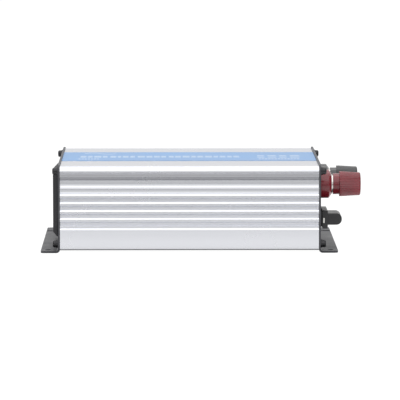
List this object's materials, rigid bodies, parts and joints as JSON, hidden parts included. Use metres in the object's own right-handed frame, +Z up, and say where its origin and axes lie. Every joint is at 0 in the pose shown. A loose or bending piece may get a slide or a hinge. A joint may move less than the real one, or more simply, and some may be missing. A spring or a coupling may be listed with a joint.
{
  "type": "power inverter",
  "caption": "Box-shaped power inverter with a ribbed metal case, footed end plates, clamping battery posts, a pull-out fuse, a fan and a mains outlet.",
  "frame": {"origin": "midway between the two round foot holes, on the plane that the feet rest on", "axes": "+X along the case towards the battery posts, +Y across the case from the side with the round foot holes, +Z up"},
  "size_m": [0.2579, 0.148, 0.0706],
  "materials": {
    "silver_aluminium": "satin anodised",
    "blue_label": "printed film",
    "black_sheet": "fine satin powder coat",
    "black_steel": "black oxide",
    "red_plastic": "glossy moulded",
    "black_plastic": "satin moulded",
    "brass_metal": "turned",
    "plated_steel": "bright plated",
    "copper_metal": "bare copper",
    "copper_wire": "enamelled copper",
    "fuse_plastic": "translucent amber",
    "fan_plastic": "moulded",
    "board_laminate": "solder mask",
    "ferrite": "sintered",
    "pad_rubber": "soft",
    "sleeve_plastic": "shrink sleeve",
    "lead_plastic": "cable insulation",
    "green_lens": "tinted clear",
    "red_lens": "tinted clear"
  },
  "bodies": {
    "casing": {"case_shell": "silver_aluminium", "bottom_plate": "silver_aluminium", "top_label": "blue_label", "dc_end_plate": "black_sheet", "ac_end_plate": "black_sheet", "dc_plate_screws": "black_steel", "ac_plate_screws": "black_steel", "plate_washers": "black_steel", "red_post_base": "red_plastic", "black_post_base": "black_plastic", "post_bushes": "black_plastic", "red_post_stud": "plated_steel", "black_post_stud": "plated_steel", "post_nuts": "plated_steel", "fuse_holder": "black_plastic", "fuse_clips": "copper_metal", "red_strap": "copper_metal", "fuse_strap": "copper_metal", "black_strap": "copper_metal", "fan_frame": "fan_plastic", "fan_screws": "black_steel", "fan_nuts": "plated_steel", "outlet_housing": "black_plastic", "outlet_back": "black_plastic", "outlet_contacts": "brass_metal", "outlet_leads": "lead_plastic", "switch_body": "black_plastic", "switch_tabs": "brass_metal", "power_lamp": "green_lens", "fault_lamp": "red_lens", "charger_shell": "plated_steel", "charger_tongue": "black_plastic", "charger_board": "board_laminate", "main_board": "board_laminate", "thermal_pads": "pad_rubber", "transistors": "black_plastic", "clamp_bars": "silver_aluminium", "clamp_screws": "plated_steel", "transformer_cores": "ferrite", "transformer_windings": "copper_wire", "input_capacitors": "sleeve_plastic", "bulk_capacitor": "sleeve_plastic", "film_capacitor": "red_plastic", "choke_core": "ferrite", "choke_windings": "copper_wire", "control_board": "board_laminate", "pin_strip": "black_plastic"},
    "red_washer": {"red_knob_washer": "plated_steel"},
    "red_cap": {"red_knob": "red_plastic", "red_knob_insert": "brass_metal"},
    "black_washer": {"black_knob_washer": "plated_steel"},
    "black_cap": {"black_knob": "black_plastic", "black_knob_insert": "brass_metal"},
    "fuse_drawer": {"fuse_carrier": "black_plastic", "carrier_springs": "plated_steel", "fuse_body": "fuse_plastic", "fuse_blades": "plated_steel"},
    "rotor": {"fan_rotor": "fan_plastic"},
    "rocker": {"switch_rocker": "black_plastic"}
  },
  "joints": [
    {"name": "red_knob_travel", "type": "slide", "parent": "casing", "child": "red_washer", "axis": [1, 0, 0], "range_m": [0, 0.004]},
    {"name": "red_knob_turn", "type": "hinge", "parent": "red_washer", "child": "red_cap", "pos_m": [0.1163, 0.0318, 0.051], "axis": [1, 0, 0], "range_deg": [0, 1441]},
    {"name": "black_knob_travel", "type": "slide", "parent": "casing", "child": "black_washer", "axis": [1, 0, 0], "range_m": [0, 0.004]},
    {"name": "black_knob_turn", "type": "hinge", "parent": "black_washer", "child": "black_cap", "pos_m": [0.1163, 0.0758, 0.051], "axis": [1, 0, 0], "range_deg": [0, 1441]},
    {"name": "fuse_drawer_slide", "type": "slide", "parent": "casing", "child": "fuse_drawer", "axis": [1, 0, 0], "range_m": [0, 0.028]},
    {"name": "fan_spin", "type": "hinge", "parent": "casing", "child": "rotor", "pos_m": [0.0985, 0.1098, 0.0358], "axis": [1, 0, 0], "continuous": true},
    {"name": "rocker_tilt", "type": "hinge", "parent": "casing", "child": "rocker", "pos_m": [-0.1031, 0.1098, 0.046], "axis": [0, -1, 0], "range_deg": [0, 13]}
  ],
  "couplings": [
    {"joint": "red_knob_turn", "follows": "red_knob_travel", "rad_per_m": 6283.2},
    {"joint": "black_knob_turn", "follows": "black_knob_travel", "rad_per_m": 6283.2}
  ]
}
